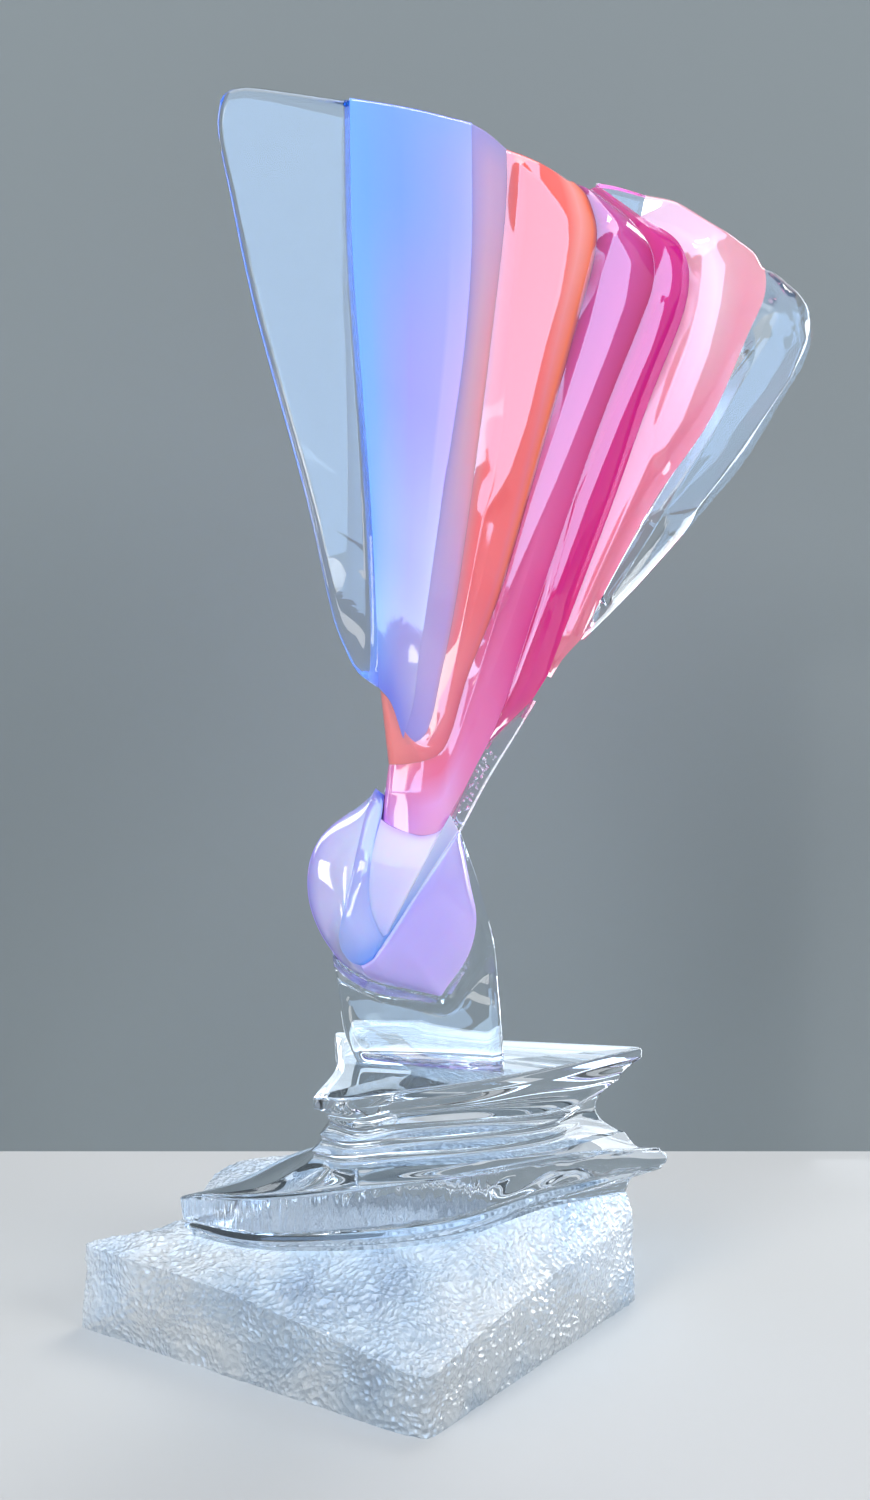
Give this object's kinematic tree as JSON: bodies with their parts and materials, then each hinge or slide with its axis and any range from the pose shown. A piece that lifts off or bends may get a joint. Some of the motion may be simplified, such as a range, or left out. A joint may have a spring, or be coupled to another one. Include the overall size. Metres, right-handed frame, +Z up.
{
  "type": "acrylic fan sculpture",
  "caption": "Laminated acrylic sculpture: a spread fan of dyed and clear leaves twists into a violet bulb, on a clear neck and a carved clear block with a hammered foot.",
  "frame": {"origin": "on the rest plane, under the neck", "axes": "+Z up along the sculpture, -Y out of the fan's front, +X to the viewer's right"},
  "size_m": [0.4218, 0.271, 0.6906],
  "materials": {
    "clear_acrylic": "clear cast acrylic, polished",
    "bubbled_acrylic": "clear cast acrylic with trapped bubbles, polished",
    "frosted_acrylic": "clear cast acrylic, hammered and frosted",
    "sky_blue_acrylic": "dyed translucent acrylic, polished",
    "lavender_acrylic": "dyed translucent acrylic, polished",
    "coral_acrylic": "dyed translucent acrylic, polished",
    "magenta_acrylic": "dyed translucent acrylic, polished",
    "pink_acrylic": "dyed translucent acrylic, polished",
    "violet_acrylic": "dyed translucent acrylic, polished",
    "pale_lavender_acrylic": "dyed translucent acrylic, polished",
    "blue_acrylic": "dyed translucent acrylic, polished"
  },
  "bodies": {
    "root": {"base_foot_slab": "frosted_acrylic", "base_shelf_slab": "clear_acrylic", "base_flute_slab": "clear_acrylic", "base_top_slab": "clear_acrylic", "neck_block": "clear_acrylic", "bulb_left_lobe": "violet_acrylic", "bulb_right_drop": "violet_acrylic", "stem_tongue": "pale_lavender_acrylic", "stem_blue_lobe": "blue_acrylic", "stem_blue_band": "blue_acrylic", "waist_spine": "bubbled_acrylic", "leaf_clear_left": "clear_acrylic", "leaf_sky_blue": "sky_blue_acrylic", "leaf_lavender": "lavender_acrylic", "leaf_coral": "coral_acrylic", "leaf_magenta_front": "magenta_acrylic", "leaf_magenta_rear": "magenta_acrylic", "leaf_pink": "pink_acrylic", "leaf_clear_right": "clear_acrylic", "rim_clear_wedge": "clear_acrylic"}
  },
  "joints": []
}
